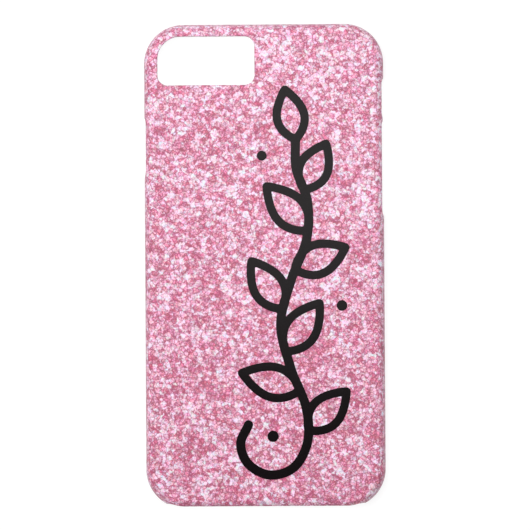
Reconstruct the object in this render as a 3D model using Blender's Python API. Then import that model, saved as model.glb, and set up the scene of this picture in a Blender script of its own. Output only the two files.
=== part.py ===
"""Slim clip-on case for a 4.7 inch phone, lying on its open rim with the decorated back up.

The case is one moulded shell, a decorated film wrapped over its outside, and a black
vine ornament applied on the film.  X is the width, Y the length (+Y is the end with the
camera opening), Z the depth.  The origin is the centre of the open rim, so the rim is at
Z = 0 and the flat back faces +Z.  Run with: blender --background --python part.py
"""

import math

import bmesh
import bpy
from mathutils import Vector
from mathutils.geometry import delaunay_2d_cdt

MM = 0.001

# ---- the phone that the case is made for
PHONE_WIDTH = 67.1 * MM
PHONE_LENGTH = 138.3 * MM
PHONE_THICKNESS = 7.1 * MM

# ---- the case, over the film
WALL = 1.30 * MM  # side wall beside the phone, film included
CASE_WIDTH = PHONE_WIDTH + 2 * WALL
CASE_LENGTH = PHONE_LENGTH + 2 * WALL
CASE_DEPTH = 9.0 * MM
CORNER_R = 11.4 * MM  # the outline's corners, seen from the back
CORNER_STEPS = 9
EDGE_IN = 2.6 * MM  # how far the back's rounded edge reaches in from the sides
EDGE_DOWN = 5.0 * MM  # and how far it reaches down from the back
EDGE_STEPS = 8
TUCK = 0.32 * MM  # how far the sides lean in again at the rim

# ---- layers
FILM_T = 0.20 * MM
FILM_GAP = 0.05 * MM
BACK_T = 1.05 * MM  # moulded back plate under the film
FIT = 0.05 * MM  # clearance beside the phone
POCKET_R = 3.5 * MM  # the pocket's rounding, which follows the phone's round side
LIP_REACH = 0.70 * MM  # the retaining lip stands in this far from the pocket's wall
FILM_END_Z = 0.55 * MM  # the film stops here, on a small ledge above the rim
DECAL_T = 0.08 * MM
DECAL_GAP = 0.05 * MM
FILM_SETBACK = 0.12 * MM  # the film stops this far short of each opening's edge

# ---- camera opening in the back, with one large corner that follows the case's corner
CAMERA_LEFT, CAMERA_RIGHT = -30.73 * MM, -2.60 * MM
CAMERA_LOW, CAMERA_HIGH = 52.64 * MM, 66.58 * MM
CAMERA_BIG_R, CAMERA_R = 6.65 * MM, 2.9 * MM

# ---- openings in the side walls, all open towards the rim
RIM_R = 1.2 * MM  # rounding where an opening's side meets the rim
RIGHT_FLOOR_Z = CASE_DEPTH - 2.06 * MM  # ring switch and volume keys
RIGHT_LOW, RIGHT_HIGH = 14.3 * MM, 54.45 * MM
HUMP_Z = CASE_DEPTH - 2.91 * MM  # low bridge between switch and volume keys
HUMP_Y = (41.07 * MM, 41.94 * MM, 42.96 * MM, 43.98 * MM)
LEFT_FLOOR_Z = CASE_DEPTH - 2.22 * MM  # side key
LEFT_LOW, LEFT_HIGH = 25.8 * MM, 43.3 * MM
PORT_FLOOR_Z = CASE_DEPTH - 1.83 * MM  # connector, speaker and microphones
PORT_HALF = 28.9 * MM
SIDE_R = 1.9 * MM
PORT_R = 2.2 * MM

# ---- vine ornament, in millimetres on the back
STROKE = 2.70
STEM = (
    (-4.9, -46.0), (-7.2, -51.6), (-5.0, -57.4), (1.2, -60.6), (8.2, -58.4),
    (12.2, -51.0), (11.8, -41.0), (7.4, -29.5), (4.6, -17.0), (7.6, -4.5),
    (12.2, 7.5), (12.6, 18.5), (9.4, 28.0), (9.2, 36.8),
)
LEAVES = (  # share of the stem's length, side (+1 left), lean from the stem, length, width
    (0.310, -1, 44.0, 15.6, 8.4),
    (0.405, 1, 50.0, 17.4, 8.8),
    (0.500, -1, 52.0, 17.0, 8.8),
    (0.595, 1, 46.0, 16.4, 8.6),
    (0.690, -1, 44.0, 15.8, 8.6),
    (0.785, 1, 50.0, 17.4, 8.8),
    (0.880, -1, 48.0, 14.6, 8.2),
    (1.000, 1, 12.0, 14.6, 8.0),
)
BERRIES = {  # centre and diameter
    "vine_berry_low": (2.2, -49.4, 3.3),
    "vine_berry_mid": (22.4, -11.6, 3.1),
    "vine_berry_high": (-0.6, 32.0, 2.9),
}


def arc(cx, cz, radius, start, end, steps):
    """Points on a circle from one angle to another, in degrees, both ends included."""
    turn = [math.radians(start + (end - start) * i / steps) for i in range(steps + 1)]
    return [(cx + radius * math.cos(a), cz + radius * math.sin(a)) for a in turn]


def rounded(corners):
    """A polyline through (u, v, radius) corners, each rounded by an arc of its radius."""
    out = []
    for i, (u, v, radius) in enumerate(corners):
        here = Vector((u, v))
        before = Vector(corners[i - 1][:2]) - here
        after = Vector(corners[(i + 1) % len(corners)][:2]) - here
        if radius <= 0:
            out.append(tuple(here))
            continue
        before.normalize()
        after.normalize()
        half = before.angle(after) / 2
        centre = here + (before + after).normalized() * (radius / math.sin(half))
        first = here + before * (radius / math.tan(half)) - centre
        last = here + after * (radius / math.tan(half)) - centre
        sweep = first.angle_signed(last)
        steps = max(2, round(abs(sweep) / math.radians(15)))
        start = math.atan2(first.y, first.x)
        for k in range(steps + 1):
            a = start - sweep * k / steps
            out.append((centre.x + radius * math.cos(a), centre.y + radius * math.sin(a)))
    return out


def outline(inset):
    """The case's outline seen from the back, moved in by inset, as a list of (x, y)."""
    hx, hy = CASE_WIDTH / 2 - CORNER_R, CASE_LENGTH / 2 - CORNER_R
    radius = CORNER_R - inset
    points = []
    for k, (sx, sy) in enumerate(((1, 1), (-1, 1), (-1, -1), (1, -1))):
        points += arc(sx * hx, sy * hy, radius, 90 * k, 90 * k + 90, CORNER_STEPS)
    return points


def new_object(name, bm, material, smooth_angle=32):
    mesh = bpy.data.meshes.new(name)
    bm.to_mesh(mesh)
    bm.free()
    obj = bpy.data.objects.new(name, mesh)
    bpy.context.scene.collection.objects.link(obj)
    if material:
        mesh.materials.append(material)
        mesh.shade_smooth()
        mesh.set_sharp_from_angle(angle=math.radians(smooth_angle))
    return obj


def lofted(name, section, material):
    """A tub whose wall has this section of (inset, z) points, from the middle of its top
    face round the rim to the middle of its inner face.  Both ends are capped flat."""
    bm = bmesh.new()
    rings = []
    for inset, z in section:
        rings.append([bm.verts.new((x, y, z)) for x, y in outline(inset)])
    for upper, lower in zip(rings, rings[1:]):
        for i in range(len(upper)):
            bm.faces.new((upper[i - 1], upper[i], lower[i], lower[i - 1]))
    for ring in (rings[0], rings[-1]):
        bm.faces.new(ring)
    bmesh.ops.recalc_face_normals(bm, faces=bm.faces)
    return new_object(name, bm, material)


def prism(name, points, axis, start, end):
    """A hidden cutter: a polygon pushed along an axis from start to end."""
    bm = bmesh.new()
    place = {
        "X": lambda u, v: (start, u, v),
        "Y": lambda u, v: (u, start, v),
        "Z": lambda u, v: (u, v, start),
    }[axis]
    face = bm.faces.new([bm.verts.new(place(u, v)) for u, v in points])
    moved = bmesh.ops.extrude_face_region(bm, geom=[face])["geom"]
    step = {"X": (1, 0, 0), "Y": (0, 1, 0), "Z": (0, 0, 1)}[axis]
    bmesh.ops.translate(
        bm,
        verts=[g for g in moved if isinstance(g, bmesh.types.BMVert)],
        vec=Vector(step) * (end - start),
    )
    bmesh.ops.recalc_face_normals(bm, faces=bm.faces)
    cutter = new_object(name, bm, None)
    cutter.hide_render = True
    cutter.display_type = "WIRE"
    return cutter


def camera_shape(grow):
    """The camera opening's outline, grown all round."""
    left, right = CAMERA_LEFT - grow, CAMERA_RIGHT + grow
    low, high = CAMERA_LOW - grow, CAMERA_HIGH + grow
    small, big = CAMERA_R + grow, CAMERA_BIG_R + grow
    return rounded(
        [(left, high, big), (right, high, small), (right, low, small), (left, low, small)]
    )


def side_shape(low, high, floor, grow, top_r, bridge=None):
    """An opening in a side wall, seen square on, from below the rim up to its floor."""
    low, high, floor = low - grow, high + grow, floor + grow
    rim, under, past = -0.02 * MM, -1.0 * MM, 2.6 * MM
    corners = [
        (high + past, under, 0),
        (high + past, rim, 0),
        (high, rim, RIM_R),
        (high, floor, top_r + grow),
    ]
    if bridge:
        a, b, c, d = HUMP_Y
        top = bridge + grow
        corners += [(d, floor, 0.5 * MM), (c, top, 0.4 * MM), (b, top, 0.4 * MM), (a, floor, 0.5 * MM)]
    corners += [
        (low, floor, top_r + grow),
        (low, rim, RIM_R),
        (low - past, rim, 0),
        (low - past, under, 0),
    ]
    return rounded(corners)


def cut(obj, cutter):
    modifier = obj.modifiers.new(cutter.name, "BOOLEAN")
    modifier.operation = "DIFFERENCE"
    modifier.solver = "EXACT"
    modifier.object = cutter


def cut_openings(obj, grow):
    """The camera opening and the three openings in the side walls."""
    tag = obj.name
    edge = CASE_WIDTH / 2
    side = side_shape(RIGHT_LOW, RIGHT_HIGH, RIGHT_FLOOR_Z, grow, SIDE_R, HUMP_Z)
    key = side_shape(LEFT_LOW, LEFT_HIGH, LEFT_FLOOR_Z, grow, SIDE_R)
    port = side_shape(-PORT_HALF, PORT_HALF, PORT_FLOOR_Z, grow, PORT_R)
    cut(obj, prism(f"cutter_camera_{tag}", camera_shape(grow), "Z", 6 * MM, 12 * MM))
    cut(obj, prism(f"cutter_right_{tag}", side, "X", edge - 6 * MM, edge + 3 * MM))
    cut(obj, prism(f"cutter_left_{tag}", key, "X", -edge - 3 * MM, -edge + 6 * MM))
    end = CASE_LENGTH / 2
    cut(obj, prism(f"cutter_port_{tag}", port, "Y", -end - 3 * MM, -end + 7 * MM))


def side_points(offset):
    """The outside section from the back's edge down to the film's end, moved in by offset."""
    points = [
        (EDGE_IN - u * (EDGE_IN - offset), CASE_DEPTH - EDGE_DOWN + v * (EDGE_DOWN - offset))
        for u, v in arc(0, 0, 1.0, 90, 0, EDGE_STEPS)
    ]
    points += [
        (offset, 2.2 * MM),
        (TUCK * 0.45 + offset, 1.2 * MM),
        (TUCK * 0.85 + offset, FILM_END_Z),
    ]
    return points


def shell_section():
    pocket = WALL - FIT
    seat = CASE_DEPTH - FILM_T - FILM_GAP - BACK_T
    middle = seat - POCKET_R
    section = side_points(FILM_T + FILM_GAP)
    last = section.pop()
    ledge = FILM_END_Z - FILM_GAP
    section += [
        (last[0], ledge),
        (TUCK * 0.87, ledge),
        (TUCK, 0.22 * MM),
        (TUCK + 0.22 * MM, 0.0),
        (pocket + LIP_REACH - 0.30 * MM, 0.0),
        (pocket + LIP_REACH - 0.05 * MM, 0.25 * MM),
        (pocket + LIP_REACH, 1.0 * MM),
        (pocket + LIP_REACH * 0.45, 2.0 * MM),
        (pocket + LIP_REACH * 0.10, 3.1 * MM),
    ]
    section += [
        (pocket + POCKET_R - u, middle + v) for u, v in arc(0, 0, POCKET_R, 0, 90, EDGE_STEPS)
    ]
    return section


def film_section():
    return side_points(0.0) + side_points(FILM_T)[::-1]


# ---- ornament


def smooth_path(points, step):
    """Evenly spaced points on a Catmull-Rom curve through the given ones."""
    points = [Vector(p) for p in points]
    ends = [2 * points[0] - points[1]] + points + [2 * points[-1] - points[-2]]
    dense = []
    for a, b, c, d in zip(ends, ends[1:], ends[2:], ends[3:]):
        for k in range(24):
            t = k / 24
            dense.append(
                0.5 * (2 * b + (c - a) * t + (2 * a - 5 * b + 4 * c - d) * t * t
                       + (3 * b - a - 3 * c + d) * t * t * t)
            )
    dense.append(points[-1])
    far = [0.0]
    for a, b in zip(dense, dense[1:]):
        far.append(far[-1] + (b - a).length)
    count = max(2, round(far[-1] / step))
    out, j = [], 0
    for i in range(count + 1):
        want = far[-1] * i / count
        while j < len(far) - 2 and far[j + 1] < want:
            j += 1
        share = (want - far[j]) / max(far[j + 1] - far[j], 1e-9)
        out.append(dense[j].lerp(dense[j + 1], min(max(share, 0), 1)))
    return out


def leaf_path(base, heading, length, width, steps):
    """One closed leaf: out along one side to the tip and back along the other."""
    along = Vector((math.cos(heading), math.sin(heading)))
    across = Vector((-along.y, along.x))
    share = [i / steps for i in range(steps + 1)]

    def half(t):
        return 0.5 * width * math.sin(math.pi * t ** 0.85) ** 0.9 if 0 < t < 1 else 0.0

    out = [base + along * (length * t) + across * half(t) for t in share]
    back = [base + along * (length * t) - across * half(t) for t in reversed(share[:-1])]
    return out + back


def ribbon(path, width, steps=8):
    """Polygons that together cover a round-ended stroke along a path."""
    r = width / 2
    sides = []
    for i, p in enumerate(path):
        before = (p - path[i - 1]).normalized() if i else None
        after = (path[i + 1] - p).normalized() if i < len(path) - 1 else None
        heading = ((before or after) + (after or before))
        heading = heading.normalized() if heading.length > 1e-6 else before
        sharp = before is not None and after is not None and before.dot(after) < 0.7
        normal = Vector((-heading.y, heading.x)) * r
        sides.append((p + normal, p - normal, sharp))
    polygons = []
    for a, b in zip(sides, sides[1:]):
        if a[2] or b[2]:
            continue
        polygons.append([a[0], a[1], b[1], b[0]])
    for i in range(len(path) - 1):
        if sides[i][2] or sides[i + 1][2]:
            d = (path[i + 1] - path[i]).normalized()
            n = Vector((-d.y, d.x)) * r
            polygons.append([path[i] + n, path[i] - n, path[i + 1] - n, path[i + 1] + n])
    for i in range(len(path)):
        if i in (0, len(path) - 1) or sides[i][2]:
            ring = [(math.cos(math.tau * k / (2 * steps)), math.sin(math.tau * k / (2 * steps)))
                    for k in range(2 * steps)]
            polygons.append([path[i] + Vector(q) * r for q in ring])
    return polygons


def decal(name, polygons, material):
    """The union of flat polygons, given a thickness, lying just above the film."""
    points, faces = [], []
    for polygon in polygons:
        faces.append(list(range(len(points), len(points) + len(polygon))))
        points += polygon
    found, _, triangles, _, _, origin = delaunay_2d_cdt(points, [], faces, 0, 1e-3)
    bm = bmesh.new()
    low = CASE_DEPTH + DECAL_GAP
    verts = [bm.verts.new((p.x * MM, p.y * MM, low)) for p in found]
    for triangle, sources in zip(triangles, origin):
        if sources:
            bm.faces.new([verts[i] for i in triangle])
    bmesh.ops.delete(bm, geom=[v for v in bm.verts if not v.link_faces], context="VERTS")
    bmesh.ops.dissolve_limit(
        bm, angle_limit=math.radians(1), verts=bm.verts, edges=bm.edges, use_dissolve_boundaries=False
    )
    moved = bmesh.ops.extrude_face_region(bm, geom=list(bm.faces))["geom"]
    bmesh.ops.translate(
        bm, verts=[g for g in moved if isinstance(g, bmesh.types.BMVert)], vec=(0, 0, DECAL_T)
    )
    bmesh.ops.recalc_face_normals(bm, faces=bm.faces)
    return new_object(name, bm, material)


def vine_polygons():
    step = 1.5
    stem = smooth_path(STEM, step)
    polygons = ribbon(stem, STROKE)
    for share, side, lean, length, width in LEAVES:
        at = min(round(share * (len(stem) - 1)), len(stem) - 1)
        before, after = stem[max(at - 1, 0)], stem[min(at + 1, len(stem) - 1)]
        heading = math.atan2(after.y - before.y, after.x - before.x)
        leaf = leaf_path(stem[at], heading + side * math.radians(lean), length, width, 12)
        polygons += ribbon(leaf, STROKE * 0.92)
    return polygons


def plain(name, colour, roughness):
    material = bpy.data.materials.new(name)
    material.use_nodes = True
    shader = material.node_tree.nodes["Principled BSDF"]
    shader.inputs["Base Color"].default_value = (*colour, 1)
    shader.inputs["Roughness"].default_value = roughness
    shader.inputs["Metallic"].default_value = 0.0
    material.diffuse_color = (*colour, 1)
    return material


def main():
    for obj in list(bpy.data.objects):
        bpy.data.objects.remove(obj, do_unlink=True)

    white = plain("white_polycarbonate", (0.86, 0.84, 0.84), 0.35)
    pink = plain("pink_glitter_film", (0.76, 0.40, 0.50), 0.25)
    black = plain("black_gloss", (0.012, 0.011, 0.012), 0.3)

    shell = lofted("shell", shell_section(), white)
    cut_openings(shell, 0.0)
    film = lofted("glitter_film", film_section(), pink)
    cut_openings(film, FILM_SETBACK)

    pieces = [shell, film, decal("vine_sprig", vine_polygons(), black)]
    for name, (x, y, size) in BERRIES.items():
        ring = [
            Vector((x + size / 2 * math.cos(a), y + size / 2 * math.sin(a)))
            for a in (math.tau * k / 20 for k in range(20))
        ]
        pieces.append(decal(name, [ring], black))

    case = bpy.data.objects.new("phone_case", None)
    bpy.context.scene.collection.objects.link(case)
    for piece in pieces:
        piece.parent = case


main()
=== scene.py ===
"""Looks of the clip-on phone case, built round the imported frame.

Three kinds of piece stand for the plain CAD solids: the moulded shell with its filleted
openings, the glitter film that lies flush in a rebate of the shell, and the black vine
with its softened edges.  Lengths below are in millimetres until they go into a mesh.
"""
import math

import bmesh
import bpy
import numpy as np
from mathutils import Matrix, Vector
from mathutils.geometry import delaunay_2d_cdt

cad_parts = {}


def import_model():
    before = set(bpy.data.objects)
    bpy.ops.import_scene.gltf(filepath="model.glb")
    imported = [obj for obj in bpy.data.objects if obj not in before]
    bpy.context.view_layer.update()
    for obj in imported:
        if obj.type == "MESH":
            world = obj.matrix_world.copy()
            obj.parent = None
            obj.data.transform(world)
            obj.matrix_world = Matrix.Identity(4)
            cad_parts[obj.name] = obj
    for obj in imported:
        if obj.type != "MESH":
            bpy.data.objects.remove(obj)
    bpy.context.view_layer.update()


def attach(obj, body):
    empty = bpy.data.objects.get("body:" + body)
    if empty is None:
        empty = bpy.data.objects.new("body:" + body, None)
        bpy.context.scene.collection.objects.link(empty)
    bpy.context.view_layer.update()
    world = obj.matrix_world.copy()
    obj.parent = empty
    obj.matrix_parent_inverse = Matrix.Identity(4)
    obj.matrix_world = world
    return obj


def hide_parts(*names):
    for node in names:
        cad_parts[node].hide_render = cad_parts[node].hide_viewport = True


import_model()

MM = 0.001
PI = math.pi

# ------------------------------------------------------------------ the case's own sizes
HALF_W, HALF_L, DEPTH = 34.85, 70.45, 9.0
CORNER_R = 11.4
EDGE_IN, EDGE_DOWN = 2.6, 5.0  # the rounding of the back's edge, across and down
TUCK = 0.32
PLATE_D = 2.95  # the back's mesh and the sides' mesh meet at this inset
FILM_T, REBATE = 0.12, 0.14
EDGE_ROUND, INNER_ROUND = 0.13, 0.30
SEAT_Z = 7.70  # inside face of the back
POCKET_D, POCKET_R = 1.25, 3.5
LIP = 0.70
RIM_R = 1.2
DRAFT = 0.22

CAM_LEFT, CAM_RIGHT, CAM_LOW, CAM_HIGH = -30.79, -2.60, 52.64, 66.74
CAM_BIG_R, CAM_R = 6.65, 2.9
HOLE_ROUND, HOLE_DOWN = 0.40, 0.74

ARC_LEN = CORNER_R * PI / 2
RUN_Y, RUN_X = 2 * (HALF_L - CORNER_R), 2 * (HALF_W - CORNER_R)
# the outline's stretches, anticlockwise from the right side's lower end
STARTS = [0.0]
for _run in (RUN_Y, ARC_LEN, RUN_X, ARC_LEN, RUN_Y, ARC_LEN, RUN_X, ARC_LEN):
    STARTS.append(STARTS[-1] + _run)
TOTAL = STARTS[-1]


def place(c, d):
    """Points at arc length c round the outline, moved in by d."""
    c = np.mod(np.asarray(c, float), TOTAL)
    d = np.broadcast_to(np.asarray(d, float), c.shape)
    x, y = np.zeros_like(c), np.zeros_like(c)
    hx, hy = HALF_W - CORNER_R, HALF_L - CORNER_R
    r = CORNER_R - d
    corners = ((hx, hy, 0.0), (-hx, hy, PI / 2), (-hx, -hy, PI), (hx, -hy, 1.5 * PI))
    for k in range(4):
        lo, hi = STARTS[2 * k], STARTS[2 * k + 1]
        m = (c >= lo) & (c < hi)
        s = c[m] - lo
        if k == 0:
            x[m], y[m] = HALF_W - d[m], -hy + s
        elif k == 1:
            x[m], y[m] = hx - s, HALF_L - d[m]
        elif k == 2:
            x[m], y[m] = -HALF_W + d[m], hy - s
        else:
            x[m], y[m] = -hx + s, -HALF_L + d[m]
        lo, hi = STARTS[2 * k + 1], STARTS[2 * k + 2]
        m = (c >= lo) & (c < hi + (1e-9 if k == 3 else 0))
        a = corners[k][2] + (c[m] - lo) / CORNER_R
        x[m] = corners[k][0] + r[m] * np.cos(a)
        y[m] = corners[k][1] + r[m] * np.sin(a)
    return x, y


def inset_of(x, y):
    """How far a point lies inside the outline."""
    hx, hy = HALF_W - CORNER_R, HALF_L - CORNER_R
    qx, qy = np.abs(x) - hx, np.abs(y) - hy
    outside = np.hypot(np.maximum(qx, 0), np.maximum(qy, 0))
    return CORNER_R - (outside + np.minimum(np.maximum(qx, qy), 0))


# ------------------------------------------------------------------ sections
def outer_d(z, o=0.0):
    """Inset of the outside at height z, on the surface that lies o under the film's face."""
    z = np.asarray(z, float)
    top = DEPTH - EDGE_DOWN
    share = np.clip((z - top) / (EDGE_DOWN - o), 0, 1)
    arc = EDGE_IN - (EDGE_IN - o) * np.sqrt(1 - share ** 2)
    low = o + TUCK * (np.maximum(2.2 - z, 0) / 2.2) ** 1.6
    return np.where(z > top, arc, low)


def outer_z(d, o=0.0):
    """Height of the back at inset d."""
    d = np.asarray(d, float)
    share = np.clip((EDGE_IN - d) / (EDGE_IN - o), 0, 1)
    arc = DEPTH - EDGE_DOWN + (EDGE_DOWN - o) * np.sqrt(1 - share ** 2)
    return np.where(d < EDGE_IN, arc, DEPTH - o)


def inner_d(z):
    z = np.asarray(z, float)
    mid = SEAT_Z - POCKET_R
    arc = POCKET_D + POCKET_R - np.sqrt(np.maximum(POCKET_R ** 2 - (z - mid) ** 2, 0))
    low = POCKET_D + LIP * np.clip((mid - z) / (mid - 1.0), 0, 1) ** 1.9
    return np.where(z > mid, arc, low)


def inner_z(d):
    d = np.asarray(d, float)
    far = POCKET_D + POCKET_R
    arc = SEAT_Z - POCKET_R + np.sqrt(np.maximum(POCKET_R ** 2 - (far - d) ** 2, 0))
    return np.where(d < far, arc, SEAT_Z)


class Profile:
    """A section from its top height down, which can be sampled evenly by length."""

    def __init__(self, depth_of, top):
        self.z = np.concatenate([top - (top * np.linspace(0, 1, 1500)) ** 1.0])
        self.d = depth_of(self.z)
        self.s = np.concatenate([[0], np.cumsum(np.hypot(np.diff(self.z), np.diff(self.d)))])

    def down_to(self, z_end, count):
        end = np.interp(-z_end, -self.z, self.s)
        s = end * np.linspace(0, 1, count)
        return np.interp(s, self.s, self.z), np.interp(s, self.s, self.d)


# ------------------------------------------------------------------ the wall's lower edge
def rounded_path(corners, spacing=0.16):
    """An open polyline through (u, v, radius) corners with arcs, as evenly laid points."""
    out = [Vector(corners[0][:2])]
    for before, here, after in zip(corners, corners[1:], corners[2:]):
        p = Vector(here[:2])
        a, b = (Vector(before[:2]) - p).normalized(), (Vector(after[:2]) - p).normalized()
        half = a.angle(b) / 2
        radius = here[2]
        centre = p + (a + b).normalized() * (radius / math.sin(half))
        first, last = p + a * (radius / math.tan(half)) - centre, p + b * (radius / math.tan(half)) - centre
        sweep = first.angle_signed(last)
        steps = max(4, round(abs(sweep) * radius / spacing))
        start = math.atan2(first.y, first.x)
        out += [
            Vector((centre.x + radius * math.cos(start - sweep * k / steps),
                    centre.y + radius * math.sin(start - sweep * k / steps)))
            for k in range(steps + 1)
        ]
    out.append(Vector(corners[-1][:2]))
    return out


def notch(lo, hi, floor, r_lo, r_hi, bridge=None):
    """The lower edge across one opening, as (along, height) corners."""
    corners = [(lo - 2.6, 0, 0), (lo, 0, RIM_R), (lo + DRAFT, floor, r_lo)]
    if bridge:
        height, a, b, c, d = bridge
        corners += [(a, floor, 0.7), (b, height, 0.5), (c, height, 0.5), (d, floor, 0.7)]
    corners += [(hi - DRAFT, floor, r_hi), (hi, 0, RIM_R), (hi + 2.6, 0, 0)]
    return corners


def on_right(y):
    return y + RUN_Y / 2


def on_left(y):
    return STARTS[4] + RUN_Y / 2 - y


def on_bottom(x):
    """Arc length of the outline's point at this x along the bottom, corners included."""
    hx = HALF_W - CORNER_R
    if abs(x) <= hx:
        return STARTS[6] + hx + x
    turn = math.asin((abs(x) - hx) / CORNER_R) * CORNER_R
    return STARTS[7] + turn if x > 0 else STARTS[6] - turn


def edge_line():
    """The wall's lower edge all the way round: arc length, height, and the direction in
    that plane that points into the wall."""
    notches = [
        notch(on_right(14.3), on_right(54.45), DEPTH - 2.06, 1.9, 1.9,
              (DEPTH - 2.91, on_right(41.07), on_right(41.94), on_right(42.96), on_right(43.98))),
        notch(on_left(43.3), on_left(25.8), DEPTH - 2.22, 1.7, 2.4),
        notch(on_bottom(-28.9), on_bottom(28.9), DEPTH - 1.58, 2.2, 2.2),
    ]
    spans, points = [], []
    for corners in notches:
        path = rounded_path(corners)
        dense = [path[0]]
        for a, b in zip(path, path[1:]):
            # long straights are cut up, and more finely where the outline turns below them
            count = max(1, math.ceil((b - a).length / (0.45 if abs(b.x - a.x) > 0.1 else 0.3)))
            dense += [a.lerp(b, k / count) for k in range(1, count + 1)]
        spans.append((dense[0].x, dense[-1].x))
        points.append(dense)
    plain = []
    for k in range(8):
        lo, hi = STARTS[k], STARTS[k + 1]
        step = 1.6 if k % 2 == 0 else 0.42
        count = math.ceil((hi - lo) / step)
        plain += [lo + (hi - lo) * i / count for i in range(count)]
    plain = [c for c in plain if not any(a - 0.12 < c < b + 0.12 for a, b in spans)]
    rows = [(c, 0.0) for c in plain] + [(p.x, p.y) for path in points for p in path]
    rows.sort()
    line = np.array(rows)
    keep = np.concatenate([[True], np.diff(line[:, 0]) > 1e-4])
    line = line[keep]
    after, before = np.roll(line, -1, 0), np.roll(line, 1, 0)
    after[-1, 0] += TOTAL
    before[0, 0] -= TOTAL
    t1, t2 = after - line, line - before
    t1 /= np.linalg.norm(t1, axis=1)[:, None]
    t2 /= np.linalg.norm(t2, axis=1)[:, None]
    t = t1 + t2
    t /= np.linalg.norm(t, axis=1)[:, None]
    return line[:, 0], line[:, 1], np.stack([-t[:, 1], t[:, 0]], 1)


EDGE_C, EDGE_Z, EDGE_N = edge_line()
COLUMNS = len(EDGE_C)


# ------------------------------------------------------------------ mesh helpers
class Builder:
    """Gathers vertices and faces, then makes one smooth object of them."""

    def __init__(self):
        self.points, self.faces, self.count = [], [], 0

    def add(self, x, y, z):
        x, y, z = np.broadcast_arrays(np.asarray(x, float), y, z)
        self.points.append(np.stack([x.ravel(), y.ravel(), z.ravel()], 1))
        first = self.count
        self.count += x.size
        return np.arange(first, self.count)

    def join(self, upper, lower):
        """Quads between two closed rings of the same length."""
        a, b = upper, lower
        a2, b2 = np.roll(a, -1), np.roll(b, -1)
        self.faces += np.stack([a, b, b2, a2], 1).tolist()

    def triangles(self, tris):
        self.faces += [list(t) for t in tris]

    def make(self, name, material, sharp=38):
        mesh = bpy.data.meshes.new(name)
        mesh.from_pydata((np.concatenate(self.points) * MM).tolist(), [], self.faces)
        bm = bmesh.new()
        bm.from_mesh(mesh)
        bmesh.ops.remove_doubles(bm, verts=bm.verts, dist=1e-7)
        bmesh.ops.dissolve_degenerate(bm, dist=1e-7, edges=bm.edges)
        bmesh.ops.recalc_face_normals(bm, faces=bm.faces)
        bm.to_mesh(mesh)
        bm.free()
        mesh.materials.append(material)
        mesh.shade_smooth()
        mesh.set_sharp_from_angle(angle=math.radians(sharp))
        obj = bpy.data.objects.new(name, mesh)
        bpy.context.scene.collection.objects.link(obj)
        return obj


def hole_loop(grow):
    """The camera opening's outline grown all round, always with the same point count."""
    left, right, low, high = CAM_LEFT - grow, CAM_RIGHT + grow, CAM_LOW - grow, CAM_HIGH + grow
    out = []
    small, big = CAM_R + grow, CAM_BIG_R + grow
    spec = ((right - small, high - small, small, 0, 12), (left + big, high - big, big, 90, 26),
            (left + small, low + small, small, 180, 12), (right - small, low + small, small, 270, 12))
    for cx, cy, r, start, steps in spec:
        for k in range(steps + 1):
            a = math.radians(start + 90 * k / steps)
            out.append((cx + r * math.cos(a), cy + r * math.sin(a)))
    full = []
    for i, p in enumerate(out):
        q = out[(i + 1) % len(out)]
        full.append(p)
        if math.hypot(q[0] - p[0], q[1] - p[1]) > 2.5:
            full += [(p[0] + (q[0] - p[0]) * k / 12, p[1] + (q[1] - p[1]) * k / 12) for k in range(1, 12)]
    return np.array(full)


def in_hole(x, y, grow):
    cx, cy = (CAM_LEFT + CAM_RIGHT) / 2, (CAM_LOW + CAM_HIGH) / 2
    hx, hy = (CAM_RIGHT - CAM_LEFT) / 2, (CAM_HIGH - CAM_LOW) / 2
    big = (x < CAM_LEFT + CAM_BIG_R) & (y > CAM_HIGH - CAM_BIG_R)
    r = np.where(big, CAM_BIG_R, CAM_R)
    qx, qy = np.abs(x - cx) - hx + r, np.abs(y - cy) - hy + r
    far = np.hypot(np.maximum(qx, 0), np.maximum(qy, 0)) + np.minimum(np.maximum(qx, qy), 0) - r
    return far < grow


def circle(x, y, r, steps=40):
    a = np.arange(steps) * math.tau / steps
    return np.stack([x + r * np.cos(a), y + r * np.sin(a)], 1)


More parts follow.
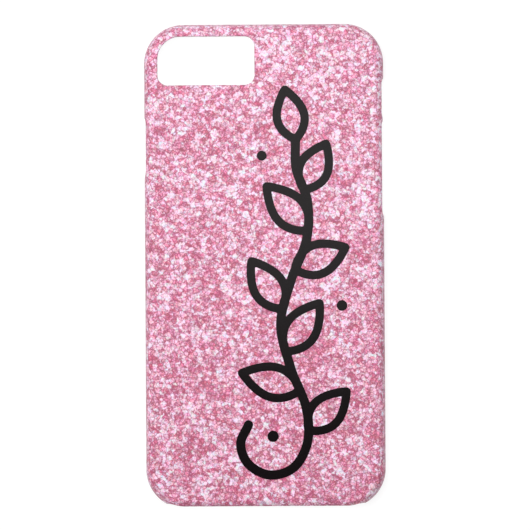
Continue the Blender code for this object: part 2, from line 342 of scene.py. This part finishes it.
def plate(ring, hole, height, insets, marks=()):
    """A triangulated back face between its outer ring and the camera opening's loop.
    height gives z from (x, y).  Returns points, triangles, and where ring and hole lie."""
    points = [ring, hole]
    loops = [len(ring), len(hole)]
    extra = []
    for d in insets:
        count_s, count_c = 60, 30
        c = []
        for k in range(8):
            n = (count_s if k in (0, 4) else 24) if k % 2 == 0 else count_c
            c += list(STARTS[k] + (STARTS[k + 1] - STARTS[k]) * (np.arange(n) + 0.5 * (d * 7 % 1)) / n)
        extra.append(np.stack(place(np.array(c), d), 1))
    gx, gy = np.meshgrid(np.arange(-28, 29, 4.0), np.arange(-64, 65, 4.0))
    grid = np.stack([gx.ravel() + 0.37, gy.ravel() - 0.21], 1)
    grid = grid[inset_of(grid[:, 0], grid[:, 1]) > max(insets) + 1.2]
    extra.append(grid)
    extra = np.concatenate(extra)
    extra = extra[~in_hole(extra[:, 0], extra[:, 1], 0.55)]
    for x, y, r in marks:
        extra = extra[np.hypot(extra[:, 0] - x, extra[:, 1] - y) > r + 0.4]
    for x, y, r in marks:
        for grow in (-0.10, -0.04, 0.04, 0.10):
            points.append(circle(x, y, r + grow))
            loops.append(40)
        points.append(np.concatenate([circle(x, y, r * s, 12) for s in (0.35, 0.7)]))
        loops.append(0)
    points.append(extra)
    flat = np.concatenate(points)
    edges, at = [], 0
    for chunk, n in zip(points, loops + [0]):
        if n:
            edges += [(at + i, at + (i + 1) % n) for i in range(n)]
        at += len(chunk)
    found, _, tris, source, _, _ = delaunay_2d_cdt(
        [Vector(p) for p in flat.tolist()], edges, [], 0, 1e-6
    )
    found = np.array([tuple(p) for p in found])
    tris = np.array([list(t) for t in tris])
    mid = found[tris].mean(axis=1)
    grown = CAM_LEFT - hole[:, 0].min()
    tris = tris[~in_hole(mid[:, 0], mid[:, 1], grown - 0.004)]
    where = np.full(len(flat), -1)
    for i, origin in enumerate(source):
        for j in origin:
            where[j] = i
    n_ring, n_hole = len(ring), len(hole)
    return (found, height(found[:, 0], found[:, 1]), tris, where[:n_ring], where[n_ring:n_ring + n_hole])


def add_plate(build, ring, hole, height, insets, marks=()):
    """Adds a plate and returns its outer ring's and hole's vertex indices."""
    found, z, tris, at_ring, at_hole = plate(ring, hole, height, insets, marks)
    base = build.add(found[:, 0], found[:, 1], z)
    build.triangles(base[tris])
    return base[at_ring], base[at_hole]


PLATE_INSETS = (3.45, 3.7, 3.95, 4.2)


def wall_rings(build, profile, c, z_end, count, skip_first=True):
    """Rings of a wall from its profile's top down to z_end, with upright columns at c."""
    zs, ds = np.zeros((COLUMNS, count)), np.zeros((COLUMNS, count))
    for i in range(COLUMNS):
        zs[i], ds[i] = profile.down_to(z_end[i], count)
    rings = []
    for k in range(1 if skip_first else 0, count):
        x, y = place(c, ds[:, k])
        rings.append(build.add(x, y, zs[:, k]))
    return rings


# ------------------------------------------------------------------ the film
def build_film(material):
    build = Builder()
    reach = EDGE_ROUND + 0.015
    c, z = EDGE_C + EDGE_N[:, 0] * reach, EDGE_Z + EDGE_N[:, 1] * reach
    sides = []
    for o in (0.0, FILM_T):
        top = float(outer_z(PLATE_D, o))
        ring = np.stack(place(c, PLATE_D), 1)
        hole = hole_loop(HOLE_ROUND)
        at_ring, at_hole = add_plate(
            build, ring, hole, lambda x, y, o=o: outer_z(inset_of(x, y), o), PLATE_INSETS
        )
        profile = Profile(lambda v, o=o: outer_d(v, o), top)
        rings = [at_ring] + wall_rings(build, profile, c, z, 30)
        for a, b in zip(rings, rings[1:]):
            build.join(a, b)
        loops = [at_hole]
        for k in range(1, 8):
            turn = PI / 2 * k / 7
            flat = hole_loop(o + (HOLE_ROUND - o) * (1 - math.sin(turn)))
            zz = outer_z(inset_of(flat[:, 0], flat[:, 1]), 0) - o - (HOLE_DOWN - o) * (1 - math.cos(turn))
            loops.append(build.add(flat[:, 0], flat[:, 1], zz))
        flat = hole_loop(o)
        zz = outer_z(inset_of(flat[:, 0], flat[:, 1]), 0) - HOLE_DOWN - 0.10
        loops.append(build.add(flat[:, 0], flat[:, 1], zz))
        for a, b in zip(loops, loops[1:]):
            build.join(a, b)
        sides.append((rings[-1], loops[-1]))
    build.join(sides[0][0], sides[1][0])
    build.join(sides[0][1], sides[1][1])
    return build.make("case_glitter_film", material)


# ------------------------------------------------------------------ the shell
EJECTORS = [(x, y, 2.2) for x in (-22.0, 22.0) for y in (-52.0, -8.0, 40.0)] + [(12.0, 60.0, 2.2), (-12.0, -60.0, 2.2), (12.0, -60.0, 2.2)]
GATE = (0.0, 4.0, 2.6)


def seat_height(x, y):
    z = inner_z(inset_of(x, y))
    for ex, ey, r in EJECTORS:  # faint round marks, a hair below the surface
        t = np.clip((r + 0.05 - np.hypot(x - ex, y - ey)) / 0.10, 0, 1)
        z = z + 0.06 * t
    t = np.clip((GATE[2] + 0.05 - np.hypot(x - GATE[0], y - GATE[1])) / 0.10, 0, 1)
    z = z + 0.16 * t
    t = np.clip((GATE[2] * 0.5 - np.hypot(x - GATE[0], y - GATE[1])) / 0.6, 0, 1)
    return z - 0.10 * t * t * (3 - 2 * t)


def build_shell(material):
    build = Builder()
    # outside, under the film
    reach = EDGE_ROUND + 0.03
    c, z = EDGE_C + EDGE_N[:, 0] * reach, EDGE_Z + EDGE_N[:, 1] * reach
    ring = np.stack(place(c, PLATE_D), 1)
    out_ring, out_hole = add_plate(
        build, ring, hole_loop(HOLE_ROUND), lambda x, y: outer_z(inset_of(x, y), REBATE), PLATE_INSETS
    )
    profile = Profile(lambda v: outer_d(v, REBATE), float(outer_z(PLATE_D, REBATE)))
    rings = [out_ring] + wall_rings(build, profile, c, z, 30)

    def ring_at(push, depth):
        """A ring pushed into the wall from its lower edge, at the inset that depth gives."""
        cc, zz = EDGE_C + EDGE_N[:, 0] * push, EDGE_Z + EDGE_N[:, 1] * push
        x, y = place(cc, depth(zz))
        return build.add(x, y, zz)

    rings.append(ring_at(EDGE_ROUND, lambda v: outer_d(v, REBATE)))
    for k in range(6):
        turn = PI / 2 * k / 5
        rings.append(ring_at(
            EDGE_ROUND * (1 - math.sin(turn)),
            lambda v, t=turn: outer_d(v) + EDGE_ROUND * (1 - math.cos(t)),
        ))
    for k in range(6):
        turn = PI / 2 * k / 5
        rings.append(ring_at(
            INNER_ROUND * (1 - math.cos(turn)),
            lambda v, t=turn: inner_d(v) - INNER_ROUND * (1 - math.sin(t)),
        ))
    c, z = EDGE_C + EDGE_N[:, 0] * INNER_ROUND, EDGE_Z + EDGE_N[:, 1] * INNER_ROUND
    ring = np.stack(place(c, PLATE_D), 1)
    in_ring, in_loop = add_plate(
        build, ring, hole_loop(0.25), seat_height, (3.15, 3.4, 3.65, 3.9, 4.2, 4.5, 4.8),
        EJECTORS + [GATE],
    )
    profile = Profile(inner_d, float(inner_z(PLATE_D)))
    inner = wall_rings(build, profile, c, z, 34)[:-1]
    rings += inner[::-1] + [in_ring]
    for a, b in zip(rings, rings[1:]):
        build.join(a, b)

    # the camera opening's wall
    loops = [out_hole]

    def loop_at(grow, drop=None, lift=None):
        flat = hole_loop(grow)
        d = inset_of(flat[:, 0], flat[:, 1])
        zz = outer_z(d) - drop if drop is not None else inner_z(d) + lift
        loops.append(build.add(flat[:, 0], flat[:, 1], zz))

    for k in range(1, 8):
        turn = PI / 2 * k / 7
        loop_at(REBATE + (HOLE_ROUND - REBATE) * (1 - math.sin(turn)),
                drop=REBATE + (HOLE_DOWN - REBATE) * (1 - math.cos(turn)))
    end = HOLE_DOWN + 0.115
    loop_at(REBATE, drop=end)
    loop_at(0.02, drop=end)
    loop_at(0.0, drop=end + 0.02)
    loop_at(0.0, drop=0.95)
    for k in range(6):
        turn = PI / 2 * k / 5
        if k < 5:
            loop_at(0.25 * (1 - math.cos(turn)), lift=0.25 * (1 - math.sin(turn)))
    loops.append(in_loop)
    for a, b in zip(loops, loops[1:]):
        build.join(a, b)
    return build.make("case_shell", material)


# ------------------------------------------------------------------ the vine
STROKE = 2.70
STEM = (
    (-4.9, -46.0), (-7.2, -51.6), (-5.0, -57.4), (1.2, -60.6), (8.2, -58.4),
    (12.2, -51.0), (11.8, -41.0), (7.4, -29.5), (4.6, -17.0), (7.6, -4.5),
    (12.2, 7.5), (12.6, 18.5), (9.4, 28.0), (9.2, 36.8),
)
LEAVES = (
    (0.310, -1, 44.0, 15.6, 8.4), (0.405, 1, 50.0, 17.4, 8.8), (0.500, -1, 52.0, 17.0, 8.8),
    (0.595, 1, 46.0, 16.4, 8.6), (0.690, -1, 44.0, 15.8, 8.6), (0.785, 1, 50.0, 17.4, 8.8),
    (0.880, -1, 48.0, 14.6, 8.2), (1.000, 1, 12.0, 14.6, 8.0),
)
BERRIES = {"low": (2.2, -49.4, 3.3), "mid": (22.4, -11.6, 3.1), "high": (-0.6, 32.0, 2.9)}
INK_LOW, INK_HIGH, INK_ROUND = 9.002, 9.078, 0.05


def smooth_path(points, step):
    points = [Vector(p) for p in points]
    ends = [2 * points[0] - points[1]] + points + [2 * points[-1] - points[-2]]
    dense = []
    for a, b, c, d in zip(ends, ends[1:], ends[2:], ends[3:]):
        for k in range(40):
            t = k / 40
            dense.append(0.5 * (2 * b + (c - a) * t + (2 * a - 5 * b + 4 * c - d) * t * t
                                + (3 * b - a - 3 * c + d) * t * t * t))
    dense.append(points[-1])
    far = [0.0]
    for a, b in zip(dense, dense[1:]):
        far.append(far[-1] + (b - a).length)
    count = max(2, round(far[-1] / step))
    out, j = [], 0
    for i in range(count + 1):
        want = far[-1] * i / count
        while j < len(far) - 2 and far[j + 1] < want:
            j += 1
        share = (want - far[j]) / max(far[j + 1] - far[j], 1e-9)
        out.append(dense[j].lerp(dense[j + 1], min(max(share, 0), 1)))
    return out


def leaf_path(base, heading, length, width, steps):
    along = Vector((math.cos(heading), math.sin(heading)))
    across = Vector((-along.y, along.x))
    share = [0.5 - 0.5 * math.cos(PI * i / steps) for i in range(steps + 1)]

    def half(t):
        return 0.5 * width * math.sin(PI * t ** 0.85) ** 0.9 if 0 < t < 1 else 0.0

    out = [base + along * (length * t) + across * half(t) for t in share]
    return out + [base + along * (length * t) - across * half(t) for t in reversed(share[:-1])]


def stroke_distance(px, py, paths):
    """Distance from each grid point to the nearest centre line, less half its stroke."""
    best = np.full(px.shape, 1e9)
    for path, width in paths:
        p = np.array([tuple(v) for v in path])
        for a, b in zip(p, p[1:]):
            lo, hi = np.minimum(a, b) - 3.2, np.maximum(a, b) + 3.2
            i0, i1 = np.searchsorted(px[0], (lo[0], hi[0]))
            j0, j1 = np.searchsorted(py[:, 0], (lo[1], hi[1]))
            if i0 >= i1 or j0 >= j1:
                continue
            sx, sy = px[j0:j1, i0:i1], py[j0:j1, i0:i1]
            ab = b - a
            t = np.clip(((sx - a[0]) * ab[0] + (sy - a[1]) * ab[1]) / max(ab @ ab, 1e-12), 0, 1)
            far = np.hypot(sx - a[0] - t * ab[0], sy - a[1] - t * ab[1]) - width / 2
            view = best[j0:j1, i0:i1]
            np.minimum(view, far, out=view)
    return best


def vine_paths():
    stem = smooth_path(STEM, 0.5)
    paths = [(stem, STROKE)]
    for share, side, lean, length, width in LEAVES:
        at = min(round(share * (len(stem) - 1)), len(stem) - 1)
        before, after = stem[max(at - 3, 0)], stem[min(at + 3, len(stem) - 1)]
        heading = math.atan2(after.y - before.y, after.x - before.x)
        leaf = leaf_path(stem[at], heading + side * math.radians(lean), length, width, 34)
        paths.append((leaf, STROKE * 0.92))
    return paths


def contour_loops(field, xs, ys, level):
    """Closed outlines of a distance field at a level, by marching squares."""
    f = field - level
    f[np.abs(f) < 1e-7] = 1e-7
    inside = f < 0
    step_x, step_y = xs[1] - xs[0], ys[1] - ys[0]
    links = {}

    def point(j, i, side):
        if side == "b":
            t = f[j, i] / (f[j, i] - f[j, i + 1])
            return ("h", j, i), (xs[i] + t * step_x, ys[j])
        t = f[j, i] / (f[j, i] - f[j + 1, i])
        return ("v", j, i), (xs[i], ys[j] + t * step_y)

    where = {}
    mixed = inside[:-1, :-1].astype(int) + inside[:-1, 1:] + inside[1:, :-1] + inside[1:, 1:]
    for j, i in zip(*np.nonzero((mixed > 0) & (mixed < 4))):
        a, b, c, d = inside[j, i], inside[j, i + 1], inside[j + 1, i + 1], inside[j + 1, i]
        cross = []
        if a != b:
            cross.append(point(j, i, "b") + (a,))
        if b != c:
            cross.append(point(j, i + 1, "l") + (b,))
        if c != d:
            cross.append(point(j + 1, i, "b") + (c,))
        if d != a:
            cross.append(point(j, i, "l") + (d,))
        for key, at, _ in cross:
            where[key] = at
        # walking the cell anticlockwise, the outline leaves where inside turns to outside
        if len(cross) == 2:
            pairs = [(cross[0], cross[1])]
        else:
            middle = f[j:j + 2, i:i + 2].mean() < 0
            pairs = [(cross[0], cross[1]), (cross[2], cross[3])] if (a != middle) == a or middle == b else [(cross[0], cross[3]), (cross[1], cross[2])]
        for one, two in pairs:
            if one[2]:
                links[one[0]] = two[0]
            else:
                links[two[0]] = one[0]
    loops = []
    while links:
        start = next(iter(links))
        loop, key = [], start
        while key in links:
            loop.append(where[key])
            key = links.pop(key)
        loops.append(np.array(loop))
    return [loop for loop in loops if len(loop) > 8]


def even(loop, spacing):
    """A closed outline relaxed a little and resampled evenly."""
    for _ in range(3):
        loop = 0.25 * np.roll(loop, 1, 0) + 0.5 * loop + 0.25 * np.roll(loop, -1, 0)
    closed = np.concatenate([loop, loop[:1]])
    s = np.concatenate([[0], np.cumsum(np.linalg.norm(np.diff(closed, axis=0), axis=1))])
    n = max(12, round(s[-1] / spacing))
    at = s[-1] * np.arange(n) / n
    return np.stack([np.interp(at, s, closed[:, 0]), np.interp(at, s, closed[:, 1])], 1)


def moved_in(loop, far):
    """An outline moved to its left by far."""
    t = np.roll(loop, -1, 0) - np.roll(loop, 1, 0)
    t /= np.linalg.norm(t, axis=1)[:, None]
    return loop + np.stack([-t[:, 1], t[:, 0]], 1) * far


def ink(name, loops, material):
    """A raised black shape with softened edges from its outlines, inside on their left."""
    build = Builder()
    tops, bottoms = [], []
    for loop in loops:
        rings = [build.add(loop[:, 0], loop[:, 1], INK_LOW), build.add(loop[:, 0], loop[:, 1], INK_HIGH - INK_ROUND)]
        for k in (1, 2, 3):
            turn = PI / 2 * k / 3
            p = moved_in(loop, INK_ROUND * (1 - math.cos(turn)))
            rings.append(build.add(p[:, 0], p[:, 1], INK_HIGH - INK_ROUND * (1 - math.sin(turn))))
        for a, b in zip(rings, rings[1:]):
            build.join(a, b)
        tops.append((p, rings[-1]))
        bottoms.append((loop, rings[0]))
    for group in (tops, bottoms):
        flat = np.concatenate([p for p, _ in group])
        index = np.concatenate([i for _, i in group])
        edges, at = [], 0
        for p, _ in group:
            edges += [(at + i, at + (i + 1) % len(p)) for i in range(len(p))]
            at += len(p)
        found, _, tris, source, _, _ = delaunay_2d_cdt([Vector(p) for p in flat.tolist()], edges, [], 0, 1e-7)
        found = np.array([tuple(p) for p in found])
        tris = np.array([list(t) for t in tris])
        mid = found[tris].mean(axis=1)
        keep = np.zeros(len(tris), int)
        for p, _ in group:  # even-odd test against each outline
            q = np.roll(p, -1, 0)
            for k in range(len(p)):
                (x0, y0), (x1, y1) = p[k], q[k]
                if y0 == y1:
                    continue
                hit = ((y0 > mid[:, 1]) != (y1 > mid[:, 1])) & (
                    mid[:, 0] < (x1 - x0) * (mid[:, 1] - y0) / (y1 - y0) + x0)
                keep += hit
        tris = tris[keep % 2 == 1]
        back = np.full(len(found), -1)
        for i, origin in enumerate(source):
            for j in origin:
                back[i] = index[j]
        build.triangles([t for t in back[tris].tolist() if min(t) >= 0])
    obj = build.make(name, material, 80)
    # the broad top stays flat and only the narrow rounding turns
    mesh = obj.data
    total = np.zeros((len(mesh.vertices), 3))
    for face in mesh.polygons:
        total[list(face.vertices)] += np.array(face.normal) * face.area
    total /= np.maximum(np.linalg.norm(total, axis=1), 1e-20)[:, None]
    mesh.normals_split_custom_set_from_vertices(total.tolist())
    return obj


def build_vine(material):
    paths = vine_paths()
    xs, ys = np.arange(-11.5, 29.0, 0.11), np.arange(-65.0, 56.0, 0.11)
    px, py = np.meshgrid(xs, ys)
    field = stroke_distance(px, py, paths)
    # soft inner corners where strokes meet, as a cut or printed edge has
    loops = [even(loop, 0.30) for loop in contour_loops(field, xs, ys, 0.0)]
    return ink("vine_sprig_black", loops, material)


# ------------------------------------------------------------------ materials
def socket(node, name, value):
    node.inputs[name].default_value = value


class Tree:
    """A short way to lay nodes in a material."""

    def __init__(self, name):
        self.material = bpy.data.materials.new(name)
        self.material.use_nodes = True
        self.nodes = self.material.node_tree.nodes
        self.links = self.material.node_tree.links
        self.shader = self.nodes["Principled BSDF"]
        self.coords = self.nodes.new("ShaderNodeTexCoord").outputs["Object"]

    def node(self, kind, **values):
        node = self.nodes.new("ShaderNode" + kind)
        for key, value in values.items():
            setattr(node, key, value)
        return node

    def link(self, out, into):
        self.links.new(out, into)

    def mapped(self, scale, offset=(0, 0, 0)):
        node = self.node("Mapping")
        node.inputs["Scale"].default_value = (scale,) * 3 if isinstance(scale, (int, float)) else scale
        node.inputs["Location"].default_value = offset
        self.link(self.coords, node.inputs["Vector"])
        return node.outputs["Vector"]

    def noise(self, vector, scale, detail=2.0, rough=0.5, color=False):
        node = self.node("TexNoise")
        self.link(vector, node.inputs["Vector"])
        socket(node, "Scale", scale)
        socket(node, "Detail", detail)
        socket(node, "Roughness", rough)
        return node.outputs["Color" if color else "Fac"]

    def voronoi(self, vector, scale, feature="F1", randomness=1.0):
        node = self.node("TexVoronoi", feature=feature)
        self.link(vector, node.inputs["Vector"])
        socket(node, "Scale", scale)
        socket(node, "Randomness", randomness)
        return node

    def math(self, op, a, b=None, c=None, clamp=False):
        node = self.node("Math", operation=op, use_clamp=clamp)
        for i, value in enumerate((a, b, c)):
            if value is None:
                continue
            if isinstance(value, (int, float)):
                node.inputs[i].default_value = value
            else:
                self.link(value, node.inputs[i])
        return node.outputs[0]

    def mix(self, factor, a, b, blend="MIX"):
        node = self.node("Mix", data_type="RGBA", blend_type=blend)
        for name, value in (("Factor", factor), ("A", a), ("B", b)):
            into = next(s for s in node.inputs if s.name == name and s.type == ("VALUE" if name == "Factor" else "RGBA"))
            if isinstance(value, (int, float)):
                into.default_value = value
            elif isinstance(value, tuple):
                into.default_value = (*value, 1)
            else:
                self.link(value, into)
        return next(s for s in node.outputs if s.type == "RGBA")

    def ramp(self, factor, stops, mode="LINEAR"):
        node = self.node("ValToRGB")
        ramp = node.color_ramp
        ramp.interpolation = mode
        while len(ramp.elements) < len(stops):
            ramp.elements.new(0.5)
        for element, (at, colour) in zip(ramp.elements, stops):
            element.position = at
            element.color = (*colour, 1) if len(colour) == 3 else colour
        self.link(factor, node.inputs["Fac"])
        return node.outputs["Color"]

    def bump(self, height, strength, distance):
        node = self.node("Bump")
        socket(node, "Strength", strength)
        socket(node, "Distance", distance)
        self.link(height, node.inputs["Height"])
        self.link(node.outputs["Normal"], self.shader.inputs["Normal"])
        return node


def srgb(r, g, b):
    out = []
    for v in (r, g, b):
        v /= 255
        out.append(v / 12.92 if v <= 0.04045 else ((v + 0.055) / 1.055) ** 2.4)
    return tuple(out)


GLITTER_LEVEL = 0.865


def glitter_material():
    """Flakes of three sizes, each with a brightness and a tint of its own, lying in
    loose clusters, with thin dull gaps between the larger ones."""
    t = Tree("pink_glitter")
    s = t.shader
    base = t.mapped(1000.0)  # from here on coordinates are in millimetres

    def warp(amount, scale, seed):
        moved = t.mapped(1000.0, seed)
        wobble = t.noise(moved, scale, 2.0, 0.5, color=True)
        shift = t.node("VectorMath", operation="MULTIPLY_ADD")
        t.link(wobble, shift.inputs[0])
        shift.inputs[1].default_value = (amount,) * 3
        t.link(base, shift.inputs[2])
        return shift.outputs[0]

    def lit(value, low, high):
        node = t.node("MapRange", interpolation_type="SMOOTHSTEP")
        socket(node, "From Min", low)
        socket(node, "From Max", high)
        t.link(value, node.inputs["Value"])
        return node.outputs["Result"]

    def flakes(vector, spacing, gap=None):
        """Red, green and blue chance of each flake, and 1 along the gaps between flakes."""
        node = t.voronoi(vector, 1.0 / spacing)
        split = t.node("SeparateColor")
        t.link(node.outputs["Color"], split.inputs[0])
        line = None
        if gap:
            edge = t.voronoi(vector, 1.0 / spacing, "DISTANCE_TO_EDGE")
            line = t.math("SUBTRACT", 1.0, lit(edge.outputs["Distance"], gap * 0.15 / spacing, gap / spacing))
        return split.outputs[0], split.outputs[1], split.outputs[2], line

    cluster = t.noise(t.mapped(1000.0, (5.0, 1.0, 2.0)), 0.45, 2.0, 0.6)
    big, big_warm, big_cool, big_gap = flakes(warp(1.6, 0.8, (3.0, 7.0, 1.0)), 1.50, 0.18)
    mid, mid_warm, mid_cool, mid_gap = flakes(warp(1.3, 1.0, (11.0, 2.0, 5.0)), 0.84, 0.14)
    fine, warm, cool, _ = flakes(warp(0.8, 1.2, (1.0, 4.0, 9.0)), 0.50)

    v = t.math("MULTIPLY_ADD", lit(cluster, 0.36, 0.68), 0.18, 0.138)
    v = t.math("MULTIPLY_ADD", t.math("POWER", big, 2.4), 0.40, v)
    v = t.math("MULTIPLY_ADD", t.math("POWER", mid, 2.0), 0.40, v)
    v = t.math("MULTIPLY_ADD", t.math("SUBTRACT", fine, 0.5), 0.20, v)
    v = t.math("MULTIPLY_ADD", big_gap, -0.22, v)
    v = t.math("MULTIPLY_ADD", mid_gap, -0.20, v)
    # painted light: the colour grows lighter towards the camera end and a little towards the right, as if the light
    # falls more strongly there
    across = t.node("SeparateXYZ")
    t.link(base, across.inputs[0])
    v = t.math("MULTIPLY_ADD", across.outputs[1], 0.034 / 70.0, v)
    v = t.math("MULTIPLY_ADD", across.outputs[0], 0.010 / 35.0, v)
    colour = t.ramp(v, [
        (0.00, srgb(188, 97, 122)), (0.12, srgb(204, 119, 145)), (0.22, srgb(217, 140, 166)),
        (0.34, srgb(231, 170, 194)), (0.46, srgb(243, 198, 219)), (0.58, srgb(249, 221, 239)),
        (0.76, srgb(251, 240, 251)),
    ])
    # each flake leans to a warm red or to a cool lilac; the gaps are duller
    heat = t.math("MULTIPLY_ADD", mid_warm, 0.55, t.math("MULTIPLY", warm, 0.45))
    chill = t.math("MULTIPLY_ADD", mid_cool, 0.5, t.math("MULTIPLY", cool, 0.5))
    tint = t.node("CombineColor")
    t.link(t.math("MULTIPLY_ADD", heat, 0.43, 0.915), tint.inputs[0])
    t.link(t.math("MULTIPLY_ADD", heat, -0.24, 1.11), tint.inputs[1])
    t.link(t.math("MULTIPLY_ADD", chill, 0.32, 0.87), tint.inputs[2])
    colour = t.mix(1.0, colour, tint.outputs[0], "MULTIPLY")
    gaps = t.math("MAXIMUM", big_gap, mid_gap)
    colour = t.mix(gaps, colour, t.mix(1.0, colour, (0.80, 1.0, 0.97), "MULTIPLY"))
    # the overall level, then painted shade: darker and deeper in colour down the sides, where the film is drawn over
    # the edge and turns away from the light
    colour = t.mix(1.0, colour, (GLITTER_LEVEL,) * 3, "MULTIPLY")
    painted_side_shade = t.mix(1.0, colour, (0.86, 0.68, 0.74), "MULTIPLY")
    t.link(t.mix(lit(across.outputs[2], 5.6, 7.8), painted_side_shade, colour), s.inputs["Base Color"])
    socket(s, "Roughness", 0.33)
    socket(s, "Specular IOR Level", 0.14)
    return t.material


def shell_material():
    t = Tree("white_polycarbonate")
    s = t.shader
    base = t.mapped(1000.0)
    flow = t.noise(base, 0.05, 3.0, 0.5)
    colour = t.ramp(flow, [(0.3, srgb(236, 233, 233)), (0.7, srgb(243, 241, 240))])
    t.link(colour, s.inputs["Base Color"])
    rough = t.math("MULTIPLY_ADD", t.noise(base, 0.35, 3.0, 0.6), 0.12, 0.30)
    t.link(rough, s.inputs["Roughness"])
    t.bump(t.noise(base, 9.0, 3.0, 0.6), 0.25, 0.00002)
    return t.material


def ink_material():
    t = Tree("black_gloss_ink")
    s = t.shader
    base = t.mapped(1000.0)
    colour = t.ramp(t.noise(base, 0.4, 3.0, 0.6), [(0.35, (0.0030, 0.0010, 0.0018)), (0.7, (0.0038, 0.0016, 0.0025))])
    t.link(colour, s.inputs["Base Color"])
    rough = t.math("MULTIPLY_ADD", t.noise(base, 1.3, 3.0, 0.6), 0.06, 0.14)
    t.link(rough, s.inputs["Roughness"])
    t.bump(t.noise(base, 1.6, 2.0, 0.5), 0.1, 0.00001)
    return t.material


def floor_material():
    t = Tree("white_table")
    s = t.shader
    base = t.mapped(1.0)
    colour = t.ramp(t.noise(base, 3.0, 4.0, 0.6), [(0.3, (0.13, 0.13, 0.13)), (0.7, (0.15, 0.15, 0.15))])
    t.link(colour, s.inputs["Base Color"])
    socket(s, "Roughness", 0.9)
    socket(s, "Specular IOR Level", 0.0)
    socket(s, "Emission Color", (1, 1, 1, 1))
    socket(s, "Emission Strength", 0.90)
    return t.material


# ------------------------------------------------------------------ the scene
def camera():
    data = bpy.data.cameras.new("camera")
    data.sensor_width = 36.0
    data.lens = 36.0 * 3449.3 / 530.0
    data.clip_start, data.clip_end = 0.01, 20.0
    obj = bpy.data.objects.new("camera", data)
    bpy.context.scene.collection.objects.link(obj)
    turn = (Matrix.Rotation(math.radians(-0.347), 4, "Z")
            @ Matrix.Rotation(math.radians(1.025), 4, "Y")
            @ Matrix.Rotation(math.radians(0.625), 4, "X"))
    obj.matrix_world = Matrix.Translation((0.01798, -0.01075, 1.009)) @ turn
    bpy.context.scene.camera = obj


def area(name, at, aim, size, power, colour=(1, 1, 1)):
    data = bpy.data.lights.new(name, "AREA")
    data.shape = "RECTANGLE"
    data.size, data.size_y = size
    data.energy = power
    data.color = colour
    obj = bpy.data.objects.new(name, data)
    bpy.context.scene.collection.objects.link(obj)
    obj.location = at
    obj.rotation_euler = (Vector(aim) - Vector(at)).to_track_quat("-Z", "Y").to_euler()
    obj.visible_camera = False
    return obj


def world():
    """Dim overhead, bright towards the horizon, as in a small white studio."""
    made = bpy.data.worlds.new("studio")
    bpy.context.scene.world = made
    made.use_nodes = True
    nodes, links = made.node_tree.nodes, made.node_tree.links
    coords = nodes.new("ShaderNodeTexCoord")
    split = nodes.new("ShaderNodeSeparateXYZ")
    links.new(coords.outputs["Generated"], split.inputs[0])
    span = nodes.new("ShaderNodeMapRange")
    span.interpolation_type = "SMOOTHSTEP"
    for name, value in (("From Min", 0.10), ("From Max", 0.24), ("To Min", 1.0), ("To Max", 0.05)):
        span.inputs[name].default_value = value
    links.new(split.outputs["Z"], span.inputs["Value"])
    back = nodes["Background"]
    back.inputs["Color"].default_value = (1, 1, 1, 1)
    links.new(span.outputs["Result"], back.inputs["Strength"])


def main():
    scene = bpy.context.scene
    scene.view_settings.view_transform = "Standard"
    scene.view_settings.look = "None"

    camera()
    world()
    for name, at, size, power in (
        ("key", (-0.02, 0.135, 0.46), 0.30, 1.79), ("side", (-0.50, 0.10, 1.5), 0.6, 11.0),
    ):
        area(name, at, (0, 0, 0), (size, size), power).visible_glossy = False
    sheen = area("sheen", (0.10, 0.53, 1.5), (0.10, 0.53, 0), (1.5, 1.112), 3.9)
    sheen.visible_diffuse = False

    floor = bpy.data.meshes.new("table")
    size = 6.0
    z = -0.00003
    floor.from_pydata([(-size, -size, z), (size, -size, z), (size, size, z), (-size, size, z)], [], [(0, 1, 2, 3)])
    floor.materials.append(floor_material())
    table = bpy.data.objects.new("table", floor)
    scene.collection.objects.link(table)

    film = build_film(glitter_material())
    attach(film, "root")
    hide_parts("glitter_film")

    shell = build_shell(shell_material())
    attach(shell, "root")
    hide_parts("shell")

    black = ink_material()
    vine = build_vine(black)
    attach(vine, "root")
    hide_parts("vine_sprig")
    for which, (x, y, size) in BERRIES.items():
        berry = ink(f"vine_berry_{which}_black", [circle(x, y, size / 2, 48)], black)
        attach(berry, "root")
        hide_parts(f"vine_berry_{which}")


main()
